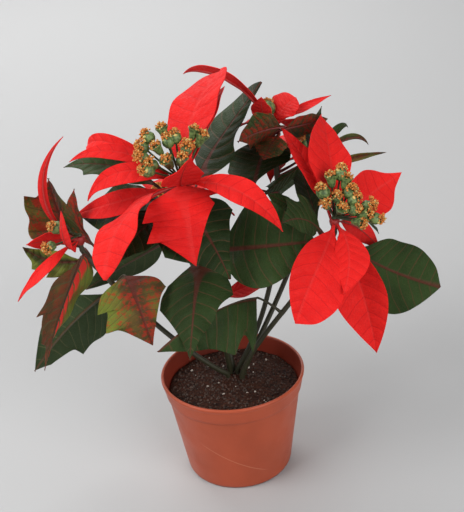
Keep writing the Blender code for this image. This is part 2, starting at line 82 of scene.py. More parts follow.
def pull_rings(profile, sides, closed=True):
    """Turned body: a disc extruded through (radius, height) stations; closed or left as a skin."""
    radius, height = profile[0]
    bpy.ops.mesh.primitive_circle_add(vertices=sides, radius=radius * MM, fill_type="NGON",
                                      location=(0, 0, height * MM))
    bpy.ops.object.transform_apply(location=True, rotation=False, scale=False)
    bpy.ops.object.mode_set(mode="EDIT")
    bpy.ops.mesh.select_all(action="SELECT")
    for next_radius, next_height in profile[1:]:
        lift = (0, 0, (next_height - height) * MM)
        bpy.ops.mesh.extrude_region_move(TRANSFORM_OT_translate={"value": lift})
        share = next_radius / radius
        bpy.ops.transform.resize(value=(share, share, 1), center_override=(0, 0, next_height * MM))
        radius, height = next_radius, next_height
    if closed:
        bpy.ops.mesh.select_all(action="DESELECT")
        bpy.ops.mesh.select_mode(type="EDGE")
        bpy.ops.mesh.select_non_manifold()
        bpy.ops.mesh.edge_face_add()
        bpy.ops.mesh.select_mode(type="VERT")
    else:
        bpy.ops.mesh.delete(type="ONLY_FACE")
    bpy.ops.object.mode_set(mode="OBJECT")


def new_material(name):
    material = bpy.data.materials.new(name)
    material.use_nodes = True
    return material, material.node_tree, material.node_tree.nodes["Principled BSDF"]


def feed(socket, value):
    """Link an input to an output, or set it to a number or an RGB tuple."""
    if isinstance(value, bpy.types.NodeSocket):
        socket.id_data.links.new(value, socket)
    else:
        socket.default_value = (*value, 1.0) if isinstance(value, tuple) else value


def add_node(tree, kind, inputs):
    node = tree.nodes.new(kind)
    for name, value in inputs.items():
        feed(node.inputs[name], value)
    return node


def calc(operation, *values):
    """A Math node on one or two values, at least one of them a socket; gives its output."""
    tree = next(value.id_data for value in values if isinstance(value, bpy.types.NodeSocket))
    node = tree.nodes.new("ShaderNodeMath")
    node.operation = operation
    for socket, value in zip(node.inputs, values):
        feed(socket, value)
    return node.outputs[0]


def plus(first, second):
    return calc("ADD", first, second)


def minus(first, second):
    return calc("SUBTRACT", first, second)


def times(first, second):
    return calc("MULTIPLY", first, second)


def ramp(value, low, high, start=0.0, end=1.0):
    """A smooth step from start to end while a value goes from low to high."""
    node = add_node(value.id_data, "ShaderNodeMapRange", {
        "Value": value, "From Min": low, "From Max": high, "To Min": start, "To Max": end})
    node.interpolation_type = "SMOOTHSTEP"
    return node.outputs["Result"]


def blend_colour(factor, first, second):
    """Mix two colours, each a socket or an RGB tuple, by a factor."""
    node = factor.id_data.nodes.new("ShaderNodeMix")
    node.data_type = "RGBA"
    colour_inputs = [socket for socket in node.inputs if socket.type == "RGBA"]
    for socket, value in zip([node.inputs["Factor"]] + colour_inputs, (factor, first, second)):
        feed(socket, value)
    return next(socket for socket in node.outputs if socket.type == "RGBA")


def object_place(tree):
    return tree.nodes.new("ShaderNodeTexCoord").outputs["Object"]


def split(vector):
    """The X, Y and Z of a vector."""
    return add_node(vector.id_data, "ShaderNodeSeparateXYZ", {"Vector": vector}).outputs


def speckle(vector, scale, detail=3.0):
    inputs = {"Vector": vector, "Scale": scale, "Detail": detail}
    return add_node(vector.id_data, "ShaderNodeTexNoise", inputs).outputs["Fac"]


def coat(shader, colour, roughness, shine=0.5):
    for name, value in (("Base Color", colour), ("Roughness", roughness), ("Specular IOR Level", shine)):
        feed(shader.inputs[name], value)


def relief(shader, height, strength, depth):
    """Send a height through a Bump node to the shader's normal."""
    inputs = {"Strength": strength, "Distance": depth, "Height": height}
    bump = add_node(height.id_data, "ShaderNodeBump", inputs)
    feed(shader.inputs["Normal"], bump.outputs["Normal"])


def pot_material():
    """Satin plastic: cloudy pigment, fine grain, painted shade darkening the inside and the underside, one
    long scratch at the front.
    """
    material, tree, shader = new_material("terracotta_plastic")
    place = object_place(tree)
    clouds = speckle(place, 26.0, 4.0)
    colour = blend_colour(ramp(clouds, 0.35, 0.7), POT_RED, tuple(0.86 * c for c in POT_RED))
    x, y, z = split(place)
    radius = calc("SQRT", plus(times(x, x), times(y, y)))
    # Painted shade: inside the wall and under the foot the plastic is coloured darker, as shade falls there.
    inside = calc("LESS_THAN", radius, plus(times(z, INSIDE_SLOPE), INSIDE_RADIUS * MM))
    colour = blend_colour(inside, colour, POT_PAINTED_SHADE)
    sloping = plus(times(x, -0.62), 0.031)
    thin = ramp(calc("ABSOLUTE", minus(z, sloping)), 0.00015, 0.0006, 1.0, 0.0)
    reach = times(ramp(x, -0.036, -0.028), ramp(x, 0.018, 0.026, 1.0, 0.0))
    front = ramp(y, -0.02, -0.01, 1.0, 0.0)
    scratch = times(times(thin, reach), front)
    colour = blend_colour(times(scratch, 0.4), colour, SCRATCH)
    coat(shader, colour, ramp(speckle(place, 60.0), 0.3, 0.75, 0.36, 0.52), 0.35)
    ripple = times(speckle(place, 320.0, 2.0), 0.5)
    height = minus(plus(ripple, clouds), scratch)
    relief(shader, height, 0.18, 0.0004)
    return material


pot_profile = [(10.0, 0.8), (38.5, 0.8), (39.5, 0.5), (40.4, 0.0), (FOOT_RADIUS - 1.2, 0.0),
               (FOOT_RADIUS, 0.25), (47.3, 1.0), (wall_radius(2.6) - 0.2, 2.6)]
pot_profile += [(wall_radius(h), h) for h in (5, 20, 35, 50, 65, 76, 79.6)]
pot_profile += [(wall_radius(80.6) + 0.15, 80.6), (61.0, 81.0), (61.6, 81.2), (61.9, 81.9),
                (62.4, 84.5), (63.3, 89.0), (64.1, 93.0), (64.35, 94.2), (64.8, 94.9),
                (RIM_RADIUS, 95.8), (RIM_RADIUS, 96.9), (64.7, 97.6), (64.1, POT_HEIGHT),
                (63.3, POT_HEIGHT), (62.6, 97.6), (62.2, 96.8), (61.8, 95.0), (60.6, 88.5),
                (59.2, COLLAR_BOTTOM)]
pot_profile += [(wall_radius(h) - WALL - (COLLAR_BOTTOM - h) / COLLAR_BOTTOM, h)
                for h in (70, 50, 30, 12, 4)]
pot_profile += [(44.5, FLOOR), (10.0, FLOOR)]
pull_rings(pot_profile, 128)
pot = finish_mesh("pot_shell", 50)
pot.data.materials.append(pot_material())
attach(pot, "root")
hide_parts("pot")


# The fill is a plug of brown granules, like bark crumb, glued level about 14 mm below the
# lip. Loose crumbs lie on it, and a few of them are painted near-white as glints of light.
FILL_LEVEL = 84.0
FILL_DEPTH = 30.0
FILL_RADIUS = 57.8
CRUMB_REACH = 56.5
CRUMBS = 1500
# Painted highlight: a share of crumbs coloured near-white to stand in for glints of light.
GLINT_SHARE = 0.02
GLINT_WHITE = (0.62, 0.55, 0.48)
SOIL_DARK = (0.014, 0.005, 0.003)
SOIL_RED = (0.062, 0.020, 0.010)


def spread_to_disc(mesh, radius):
    """Carry a square grid's points to a disc of this radius."""
    for vert in mesh.vertices:
        x, y = vert.co.x, vert.co.y
        vert.co.x = radius * x * math.sqrt(1 - y * y / 2)
        vert.co.y = radius * y * math.sqrt(1 - x * x / 2)


def fill_height(x, y):
    """Height of the lumpy fill in metres, lower at the wall."""
    spot = Vector((x, y, 0.3)) * 60.0
    lumps = 0.0011 * noise.noise(spot) + 0.0011 * abs(noise.noise(spot * 4.1))
    lumps += 0.0004 * noise.noise(spot * 9.0)
    return FILL_LEVEL * MM + lumps - 0.0012 * (math.hypot(x, y) / 0.058) ** 4


def carried(tree, name):
    """The value of this name that each point of a piece carries."""
    node = tree.nodes.new("ShaderNodeAttribute")
    node.attribute_name = name
    return node.outputs["Fac"]


def soil_material():
    """Dark crumb with a red tint in patches; the crumbs marked as pale are painted almost white as glints."""
    material, tree, shader = new_material("granule_fill")
    place = object_place(tree)
    grain = speckle(place, 520.0, 4.0)
    patch = speckle(place, 70.0)
    share = ramp(plus(times(grain, 0.7), times(patch, 0.3)), 0.36, 0.64)
    colour = blend_colour(share, SOIL_DARK, SOIL_RED)
    # Painted highlight: crumbs marked as pale take the near-white glint colour.
    coat(shader, blend_colour(carried(tree, "pale"), colour, GLINT_WHITE), 0.85, 0.2)
    relief(shader, grain, 0.7, 0.0006)
    return material


def join_pieces(pieces, name):
    bpy.ops.object.select_all(action="DESELECT")
    for piece in pieces:
        piece.select_set(True)
    bpy.context.view_layer.objects.active = pieces[0]
    bpy.ops.object.join()
    pieces[0].name = name
    return pieces[0]


bpy.ops.mesh.primitive_grid_add(x_subdivisions=110, y_subdivisions=110, size=2)
fill = bpy.context.object
spread_to_disc(fill.data, FILL_RADIUS * MM)
for vert in fill.data.vertices:
    vert.co.z = fill_height(vert.co.x, vert.co.y)
bpy.ops.object.mode_set(mode="EDIT")
bpy.ops.mesh.select_all(action="DESELECT")
bpy.ops.mesh.select_non_manifold()
bpy.ops.mesh.extrude_edges_move(TRANSFORM_OT_translate={"value": (0, 0, -FILL_DEPTH * MM)})
bpy.ops.transform.resize(value=(0.93, 0.93, 1), center_override=(0, 0, 0))
bpy.ops.mesh.edge_face_add()
bpy.ops.object.mode_set(mode="OBJECT")
draw = random.Random(11)
bpy.ops.mesh.primitive_ico_sphere_add(subdivisions=1, radius=1.0)
crumb = bpy.context.object
crumbs = []
for number in range(CRUMBS):
    angle = draw.uniform(0, math.tau)
    far = CRUMB_REACH * MM * math.sqrt(draw.random())
    x, y = far * math.cos(angle), far * math.sin(angle)
    size = draw.uniform(0.0005, 0.00135)
    copy = crumb.copy()
    copy.data = crumb.data.copy()
    turn = Matrix.Rotation(draw.uniform(0, 6), 4, (draw.random(), draw.random(), draw.random() + 0.1))
    stretch = Matrix.Diagonal((size, size * draw.uniform(0.6, 1.2), size * draw.uniform(0.5, 1.0), 1.0))
    copy.data.transform(Matrix.Translation((x, y, fill_height(x, y) + size * 0.2)) @ turn @ stretch)
    pale = copy.data.attributes.new("pale", "FLOAT", "POINT")
    # Painted highlight: a few crumbs are fully pale as glints; the rest get a faint random pale tint.
    glint_and_tint = 1.0 if draw.random() < GLINT_SHARE else draw.uniform(0, 0.12)
    pale.data.foreach_set("value", [glint_and_tint] * len(copy.data.vertices))
    bpy.context.collection.objects.link(copy)
    crumbs.append(copy)
bpy.data.objects.remove(crumb, do_unlink=True)
join_pieces([fill] + crumbs, "granule_fill")
bpy.ops.object.shade_smooth_by_angle(angle=math.radians(45))
fill.data.materials.append(soil_material())
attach(fill, "root")
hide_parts("soil")


# Head A, the largest, stands at the left of the middle. Its bracts are leaf-shaped red blades
# of thin felted cloth, pressed into veins, each with a rib glued along its back. They spread in
# a spiral from a short receptacle on top of the stem.
Blade = namedtuple("Blade", "around sweep climb droop roll fold length left right edge_left edge_right "
                            "start blush lime", defaults=("plain", "plain", None, 0.0, 0.0))
ROWS = (0.0, 0.10, 0.20, 0.31, 0.42, 0.54, 0.66, 0.78, 0.90, 1.0)
OUTLINES = {
    "plain": (
        (0, .05), (0, .10), (.01, .42), (.02, .78), (.03, .96),
        (.03, 1), (.02, .86), (.01, .60), (0, .30), (0, 0),
    ),
    "slim": (
        (0, .10), (0, .14), (.01, .45), (.02, .80), (.03, 1),
        (.03, .98), (.02, .80), (.01, .52), (0, .26), (0, 0),
    ),
    "blunt": (
        (0, .05), (0, .10), (.01, .36), (.02, .70), (.03, .92),
        (.04, 1), (.05, .98), (.05, .84), (.04, .55), (0, 0),
    ),
    "stalked": (
        (0, .06), (0, .06), (0, .10), (0, .50), (.02, .85),
        (.03, 1), (.03, .95), (.02, .72), (0, .36), (0, 0),
    ),
    "broad_end": (
        (0, .05), (0, .10), (0, .30), (0, .60), (.02, .85),
        (.04, .98), (.04, 1), (0, .80), (-.04, .38), (0, 0),
    ),
    "shoulder": (
        (0, .05), (0, .48), (0, .86), (0, .94), (.05, 1),
        (.02, .80), (.02, .52), (0, .33), (0, .14), (0, 0),
    ),
    "early": (
        (0, .05), (0, .60), (0, .88), (.02, 1), (0, .78),
        (-.02, .62), (0, .44), (0, .27), (0, .12), (0, 0),
    ),
    "eared": (
        (0, .06), (0, .55), (-.01, 1), (-.10, .70), (-.12, .80),
        (-.12, .62), (-.05, .38), (0, .20), (0, .08), (0, 0),
    ),
    "two_lobes": (
        (0, .05), (0, .42), (0, .74), (.02, .90), (.01, 1),
        (-.10, .76), (.01, .98), (-.10, .68), (-.08, .36), (0, 0),
    ),
    "horned": (
        (0, .06), (0, .36), (0, .76), (.04, 1), (.08, .95),
        (.10, .82), (.26, .75), (.06, .46), (0, .24), (0, 0),
    ),
    "spiked": (
        (0, .05), (0, .16), (.02, .58), (.05, .82), (.10, 1),
        (-.02, .70), (.07, .76), (0, .40), (0, .18), (0, 0),
    ),
    "late_spike": (
        (0, .05), (0, .14), (.01, .45), (.02, .72), (.03, .88),
        (.05, .90), (.08, 1), (-.05, .62), (.02, .42), (0, 0),
    ),
    "low_spike": (
        (0, .05), (.02, .70), (.04, 1), (-.04, .66), (.02, .86),
        (.02, .72), (.01, .54), (0, .36), (0, .18), (0, 0),
    ),
}
SPANS = len(ROWS) - 1
LOBE_TURN = -38
LINE_STEPS = 24
FINE_ROWS = 5
FINE_COLUMNS = 8
CLOTH = 0.55
HUB_RADIUS = 3.0
SPIRAL_STEP = 0.35
VEIN_COUNT = 9.0
VEIN_LEAN = 0.55
VEIN_ARCH = 1.3
BRACT_RED = (0.80, 0.014, 0.011)
BRACT_DEEP = (0.62, 0.007, 0.007)
BRACT_VEIN = (0.48, 0.004, 0.006)
BRACT_RIB = (0.66, 0.040, 0.036)


def axes_at(blade, share):
    """Heading, side and normal of a blade at these shares of its length."""
    around = np.radians(blade.around + blade.sweep * share)
    climb = np.radians(blade.climb - blade.droop * share)
    roll = math.radians(blade.roll)
    level = np.cos(climb)
    heading = np.stack((level * np.cos(around), level * np.sin(around), np.sin(climb)), -1)
    side = np.stack((np.sin(around), -np.cos(around), np.zeros_like(around)), -1)
    up = np.cross(side, heading)
    return heading, side * math.cos(roll) + up * math.sin(roll), up * math.cos(roll) - side * math.sin(roll)


def midrib_line(blade, start):
    """The midrib from a start, in LINE_STEPS equal steps."""
    middles = (np.arange(LINE_STEPS) + 0.5) / LINE_STEPS
    steps = axes_at(blade, middles)[0] * (blade.length / LINE_STEPS)
    start = np.array(start, float)
    return np.concatenate(([start], start + np.cumsum(steps, axis=0)))


def on_line(line, share):
    """The points at these shares of such a line."""
    place = np.clip(share, 0, 1) * LINE_STEPS
    step = np.minimum(place.astype(int), LINE_STEPS - 1)
    rest = (place - step)[..., None]
    return line[step] * (1 - rest) + line[step + 1] * rest


def drawn_edge(outline, length, half):
    """Share and reach of an edge's fine points: round, but sharp past LOBE_TURN, where a lobe ends."""
    corners = np.array([((row + shift) * length, width * half) for row, (shift, width) in zip(ROWS, outline)])
    chords = np.diff(corners, axis=0)
    leaving = np.vstack((chords, chords[-1:]))
    arriving = np.vstack((chords[:1], chords))
    for index in range(1, len(corners) - 1):
        before, after = chords[index - 1], chords[index]
        turn = math.degrees(math.atan2(before[0] * after[1] - before[1] * after[0], before @ after))
        if turn > LOBE_TURN:
            leaving[index] = arriving[index] = (before + after) / 2
    points = []
    for index in range(len(corners) - 1):
        for t in np.arange(FINE_ROWS) / FINE_ROWS:
            points.append((2 * t ** 3 - 3 * t ** 2 + 1) * corners[index]
                          + (t ** 3 - 2 * t ** 2 + t) * leaving[index]
                          + (3 * t ** 2 - 2 * t ** 3) * corners[index + 1]
                          + (t ** 3 - t ** 2) * arriving[index + 1])
    points = np.array(points + [corners[-1]])
    return np.minimum(points[:, 0] / length, 1.0), np.maximum(points[:, 1], 0.0)


def shape_blade(blank, blade, start, seed):
    """Copy the flat blank and give it a blade's outline, bend, fold, pressed veins and ruffle."""
    draw = random.Random(seed)
    across = np.linspace(-1, 1, 2 * FINE_COLUMNS + 1)
    far = np.abs(across)[None, :]
    middle = np.interp(np.linspace(0, SPANS, SPANS * FINE_ROWS + 1), np.arange(SPANS + 1), ROWS)[:, None]
    left_share, left_reach = drawn_edge(OUTLINES[blade.edge_left], blade.length, blade.left)
    right_share, right_reach = drawn_edge(OUTLINES[blade.edge_right], blade.length, blade.right)
    on_left = (across < 0)[None, :]
    share = middle + (np.where(on_left, left_share[:, None], right_share[:, None]) - middle) * far
    reach = np.where(on_left, left_reach[:, None], right_reach[:, None]) * far
    wide = reach / blade.length
    phase = (share - VEIN_LEAN * wide - VEIN_ARCH * wide ** 2) * VEIN_COUNT
    size = (blade.left + blade.right) / 50
    inner = np.minimum(far * 4, 1) * (1 - far ** 5) * np.sqrt(np.clip(np.sin(np.pi * share), 0, 1))
    press = -0.30 * size * np.cos(2 * np.pi * phase) * inner
    waves = draw.uniform(2.2, 3.4)
    starts = np.where(on_left, draw.uniform(0, 1), draw.uniform(0, 1))
    ruffle = 1.4 * size * far ** 2.2 * np.sin(2 * np.pi * (share * waves + starts)) * np.sin(np.pi * share)
    twist = 1.1 * size * across[None, :] * np.sin(2 * np.pi * (share * 1.2 + draw.uniform(0, 1))) * share
    cup = draw.uniform(-0.10, 0.02) * reach * far
    fold = math.radians(blade.fold)
    _, side, normal = axes_at(blade, share)
    out = side * (np.where(on_left, -1, 1) * reach * math.cos(fold))[..., None]
    lift = normal * (reach * math.sin(fold) + press + ruffle + twist + cup)[..., None]
    places = (on_line(midrib_line(blade, start), share) + out + lift) * MM
    piece = blank.copy()
    piece.data = blank.data.copy()
    bpy.context.collection.objects.link(piece)
    piece.data.vertices.foreach_set("co", places.reshape(-1))
    flat = np.stack((0.5 + np.where(on_left, -1, 1) * wide, share), -1).reshape(-1, 2)
    corners = np.zeros(len(piece.data.loops), int)
    piece.data.loops.foreach_get("vertex_index", corners)
    piece.data.uv_layers[0].uv.foreach_set("vector", flat[corners].reshape(-1))
    for name, value in (("tone", draw.uniform(0, 1)), ("blush", blade.blush), ("lime", blade.lime)):
        attribute = piece.data.attributes.new(name, "FLOAT", "POINT")
        attribute.data.foreach_set("value", [value] * len(piece.data.vertices))
    return piece


def apply_modifier(piece, kind, **settings):
    modifier = piece.modifiers.new("shape", kind)
    for key, value in settings.items():
        setattr(modifier, key, value)
    bpy.context.view_layer.objects.active = piece
    bpy.ops.object.modifier_apply(modifier=modifier.name)


def cut_blades(name, blades, starts, materials):
    """All blades of one piece: a gridded blank is copied, shaped, joined and given its thickness."""
    bpy.ops.object.select_all(action="DESELECT")
    bpy.ops.mesh.primitive_grid_add(x_subdivisions=2 * FINE_COLUMNS, y_subdivisions=SPANS * FINE_ROWS, size=2)
    blank = bpy.context.object
    for material in materials:
        blank.data.materials.append(material)
    seeds = [sum(map(ord, name)) * 31 + number for number in range(len(blades))]
    pieces = [shape_blade(blank, blade, start, seed) for blade, start, seed in zip(blades, starts, seeds)]
    bpy.data.objects.remove(blank, do_unlink=True)
    piece = join_pieces(pieces, name)
    bpy.ops.object.mode_set(mode="EDIT")
    bpy.ops.mesh.select_all(action="SELECT")
    bpy.ops.mesh.remove_doubles(threshold=0.00001)
    bpy.ops.object.mode_set(mode="OBJECT")
    apply_modifier(piece, "SOLIDIFY", thickness=CLOTH * MM, offset=0.0, material_offset=1)
    return piece


def draw_tubes(name, routes, material):
    """Round rods along routes of (place, radius) in millimetres, as one mesh."""
    curve = bpy.data.curves.new(name, "CURVE")
    curve.dimensions = "3D"
    curve.bevel_depth = MM
    curve.bevel_resolution = 3
    curve.use_fill_caps = True
    curve.materials.append(material)
    for route in routes:
        spline = curve.splines.new("POLY")
        spline.points.add(len(route) - 1)
        for point, (place, radius) in zip(spline.points, route):
            point.co = (place[0] * MM, place[1] * MM, place[2] * MM, 1.0)
            point.radius = radius
    rods = bpy.data.objects.new(name, curve)
    bpy.context.collection.objects.link(rods)
    bpy.ops.object.select_all(action="DESELECT")
    rods.select_set(True)
    bpy.context.view_layer.objects.active = rods
    bpy.ops.object.convert(target="MESH")
    return bpy.context.object


def rib_route(blade, start, thick):
    """The rib under a blade: from a little before its foot, thinning towards its tip."""
    share = np.linspace(0.0, 0.9, 16)
    radius = thick * (0.22 + 0.78 * (1 - share) ** 1.4)
    _, _, normal = axes_at(blade, share)
    places = on_line(midrib_line(blade, start), share) - normal * (0.75 * radius + 0.1)[:, None]
    return list(zip(places, radius))


def vein_group():
    """Masks on a blade's own map: veins, midrib, pillows between them, net; and the way off the rib."""
    tree = bpy.data.node_groups.new("pressed veins", "ShaderNodeTree")
    tree.interface.new_socket("Map", in_out="INPUT", socket_type="NodeSocketVector")
    chart = tree.nodes.new("NodeGroupInput").outputs["Map"]
    x, y, _ = split(chart)
    wobble = times(minus(speckle(chart, 9.0), 0.5), 0.03)
    side = minus(x, 0.5)
    wide = calc("ABSOLUTE", side)
    lean = plus(times(wide, VEIN_LEAN), times(times(wide, wide), VEIN_ARCH))
    turn = calc("FRACT", times(plus(minus(y, lean), wobble), VEIN_COUNT))
    near = calc("ABSOLUTE", minus(turn, 0.5))
    past_rib = minus(wide, times(minus(1.0, y), 0.008))
    cells = add_node(tree, "ShaderNodeTexVoronoi", {"Vector": chart, "Scale": 58.0})
    cells.feature = "DISTANCE_TO_EDGE"
    masks = {"Veins": ramp(near, 0.43, 0.495), "Midrib": ramp(past_rib, 0.0, 0.009, 1.0, 0.0),
             "Pillows": ramp(near, 0.12, 0.5, 1.0, 0.0),
             "Net": ramp(cells.outputs["Distance"], 0.0, 0.16, 1.0, 0.0), "Wide": wide, "Side": side}
    for name in masks:
        tree.interface.new_socket(name, in_out="OUTPUT", socket_type="NodeSocketFloat")
    add_node(tree, "NodeGroupOutput", masks)
    return tree


veins_on_map = vein_group()


def blade_masks(tree):
    """The group's masks on the piece's own map, and the three values that each blade carries."""
    group = tree.nodes.new("ShaderNodeGroup")
    group.node_tree = veins_on_map
    feed(group.inputs["Map"], tree.nodes.new("ShaderNodeUVMap").outputs["UV"])
    return group.outputs, [carried(tree, name) for name in ("tone", "blush", "lime")]


def veined(colour, masks, vein, rib, shares):
    """Tint a colour along the side veins, the fine net and the midrib, each by its share."""
    for name, tint, share in zip(("Veins", "Net", "Midrib"), (vein, vein, rib), shares):
        colour = blend_colour(times(masks[name], share), colour, tint)
    return colour


def press_cloth(shader, masks, net, midrib, grain, strength):
    """Pillows between the veins stand out, the net and the midrib lie deeper, a grain covers all."""
    height = minus(minus(masks["Pillows"], times(masks["Net"], net)), times(masks["Midrib"], midrib))
    relief(shader, plus(height, grain), strength, 0.0008)


def bract_material(name, bright, deep, vein, rib):
    """Felted red cloth: soft mottling, veins a little deeper, a fine crinkle."""
    material, tree, shader = new_material(name)
    masks, (tone, _, _) = blade_masks(tree)
    place = object_place(tree)
    cloud = times(speckle(place, 45.0, 4.0), 0.7)
    share = ramp(plus(cloud, times(tone, 0.3)), 0.25, 0.8)
    colour = blend_colour(share, bright, deep)
    colour = veined(colour, masks, vein, rib, (0.55, 0.18, 0.3))
    coat(shader, colour, ramp(speckle(place, 260.0), 0.3, 0.7, 0.6, 0.8), 0.18)
    press_cloth(shader, masks, 0.35, 0.8, times(speckle(place, 700.0, 2.0), 0.6), 0.55)
    return material


def stalk_material(name, low, high, from_height, to_height):
    """A rod's colour, turning from one tint to the other as it rises."""
    material, tree, shader = new_material(name)
    place = object_place(tree)
    patches = times(minus(speckle(place, 90.0), 0.5), 0.05)
    share = ramp(plus(split(place)[2], patches), from_height, to_height)
    coat(shader, blend_colour(share, low, high), 0.55)
    relief(shader, speckle(place, 400.0), 0.3, 0.0004)
    return material


bract_top = bract_material("bract_cloth", BRACT_RED, BRACT_DEEP, BRACT_VEIN, BRACT_RIB)
# Painted shade: the back face of the bract cloth is a darker copy of the front red, as the undersides lie in
# shade.
bract_back_painted_shade = bract_material("bract_cloth_back_painted_shade", (0.66, 0.014, 0.012), (0.50, 0.008, 0.008),
                             (0.60, 0.030, 0.028), BRACT_RIB)
bract_rib = stalk_material("bract_rib", (0.26, 0.012, 0.010), (0.38, 0.016, 0.013), 0.2, 0.3)


def make_bracts(letter, hub, blades):
    """One head's bracts with their ribs, on a receptacle that flares to carry the flowers."""
    starts = []
    for number, blade in enumerate(blades):
        around = math.radians(blade.around)
        at_hub = (hub[0] + HUB_RADIUS * math.cos(around), hub[1] + HUB_RADIUS * math.sin(around),
                  hub[2] - SPIRAL_STEP * number + 1.0)
        starts.append(blade.start or at_hub)
    cloth = cut_blades("bracts", blades, starts, (bract_top, bract_back_painted_shade))
    ribs = draw_tubes("ribs", [rib_route(blade, start, 0.011 * blade.length + 0.15)
                               for blade, start in zip(blades, starts)], bract_rib)
    pull_rings([(1.5, -4.5), (2.9, -4.3), (3.6, -2.5), (4.3, 0.0), (4.4, 1.5), (3.6, 2.7), (1.5, 3.0)], 20)
    base = finish_mesh("receptacle", 40)
    base.data.transform(Matrix.Translation(Vector(hub) * MM))
    base.data.materials.append(bract_rib)
    piece = join_pieces([cloth, ribs, base], "bract_spray_" + letter)
    bpy.ops.object.shade_smooth_by_angle(angle=math.radians(42))
    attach(piece, "root")
    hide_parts("bracts_" + letter)


make_bracts("a", (-27, -20, 290), (
    Blade(-85, 6, -27, 41, 0, 1, 70, 29, 36, "eared", "two_lobes"),
    Blade(-94, 49, 40, -13, -2, -4, 52, 17, 18, "shoulder", "shoulder"),
    Blade(-41, 27, 26, 91, -24, 13, 100, 13, 12),
    Blade(-164, 58, 2, 65, -28, -1, 106, 34, 36, "stalked", "stalked"),
    Blade(-175, -27, 50, 116, 47, 18, 92, 13, 7),
    Blade(168, -18, 54, 90, 54, 10, 108, 7, 6),
    Blade(168, -56, 53, 88, 64, 16, 118, 9, 7, "blunt", "blunt"),
    Blade(76, -29, 66, 48, 22, 11, 111, 28, 30, "blunt", "blunt"),
    Blade(51, 17, 62, 54, 30, 3, 104, 14, 13, "blunt", "plain"),
    Blade(173, -40, -11, 16, 48, 11, 114, 13, 10),
))


# Head B, right of the middle and lower, leans to the front. Its seven bracts are the same
# ribbed red cloth, fixed in a spiral to its own receptacle.
make_bracts("b", (96, -12, 241), (
    Blade(124, -4, 64, 37, -9, 12, 93, 13, 12),
    Blade(82, 15, 66, 36, -34, 19, 97, 29, 19),
    Blade(50, -26, 3, -18, -54, -15, 84, 21, 22, "broad_end", "broad_end"),
    Blade(46, -21, -24, 36, 85, 16, 71, 10, 9),
    Blade(-65, -60, -18, 32, 2, -8, 68, 17, 12),
    Blade(-108, -41, -12, 54, 46, 14, 96, 29, 21, "blunt", "plain"),
    Blade(-54, 6, -57, 24, -50, 19, 117, 21, 24),
))


# Head C, at the far left, is small and half open: four narrow bracts of the same cloth on
# the stem that leans out farthest. The longest curls up and back over the others.
make_bracts("c", (-117, -5, 243), (
    Blade(-157, -13, 40, -102, -62, 10, 105, 3, 5, "slim", "slim", (-119, -7, 244)),
    Blade(-110, 21, -21, -161, 37, 10, 60, 8, 4),
    Blade(-168, 22, 15, 11, -63, 12, 43, 8, 13),
    Blade(-153, -30, -17, 43, 28, 16, 75, 12, 3, "slim", "slim"),
))


# Head D stands at the back, above head B, with its bracts turned away from the front. They
# are ribbed cloth like the others, two of them short.
make_bracts("d", (53, 55, 308), (
    Blade(170, -46, 72, 100, -56, 3, 108, 10, 4, "slim", "slim"),
    Blade(-160, 5, 60, -38, -34, 7, 26, 9, 12),
    Blade(20, -6, 62, 40, -10, 6, 29, 20, 17, "blunt", "blunt"),
    Blade(13, 15, 28, 27, -25, 14, 58, 3, 7, "slim", "slim"),
    Blade(130, 10, 5, 70, 0, 10, 72, 17, 16),
    Blade(85, -5, 12, 70, 0, 10, 62, 16, 16, "blunt", "plain"),
    Blade(62, -4, 5, 70, 0, 10, 52, 11, 11),
))


# Head E fills the back behind head B with five bracts of the same cloth, ribbed behind and
# fixed to their receptacle.
make_bracts("e", (88, 82, 262), (
    Blade(150, 10, 30, 80, 0, 10, 52, 14, 14),
    Blade(105, -5, 35, 85, 10, 10, 80, 19, 17, "plain", "blunt"),
    Blade(68, 6, 24, 80, 0, 10, 82, 16, 16, "blunt", "plain"),
    Blade(125, 5, -5, 60, 0, 10, 70, 16, 15, "plain", "spiked"),
    Blade(82, -5, -10, 55, 0, 10, 74, 17, 17, "spiked", "plain"),
))


# Head F fills the back at the left with seven bracts, cut, pressed and fixed in the same way,
# so that the plant is closed from behind too.
make_bracts("f", (-45, 72, 232), (
    Blade(100, 10, 30, 75, 0, 10, 78, 18, 18, "plain", "blunt"),
    Blade(145, 8, 25, 70, 0, 10, 82, 19, 17, "blunt", "plain"),
    Blade(55, -8, 25, 75, 0, 10, 78, 17, 18),
    Blade(10, 10, 10, 60, 0, 10, 66, 15, 15),
    Blade(-170, 10, 5, 60, 0, 10, 74, 16, 16, "plain", "spiked"),
    Blade(122, -5, -12, 55, 0, 10, 76, 17, 17, "spiked", "plain"),
    Blade(78, 6, -14, 50, 0, 10, 70, 16, 16),
))


# One bract grows alone on the stem of head A, under the leaves: the same cloth and rib, on a
# short stalk that reaches in to the stem.
LOW_BRACT = Blade(-9, 14, 24, 10, -20, 14, 50, 10, 13, "plain", "plain", (-6, 4, 170))
low_cloth = cut_blades("low_bract", [LOW_BRACT], [LOW_BRACT.start], (bract_top, bract_back_painted_shade))
low_stalk = [((-9.5, 1.5, 166.5), 0.9), ((-8, 3, 168), 0.9)]
low_rib = draw_tubes("low_rib", [low_stalk + rib_route(LOW_BRACT, LOW_BRACT.start, 0.8)], bract_rib)
low_bract = join_pieces([low_cloth, low_rib], "single_bract")
bpy.ops.object.shade_smooth_by_angle(angle=math.radians(42))
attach(low_bract, "root")
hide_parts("low_bract")


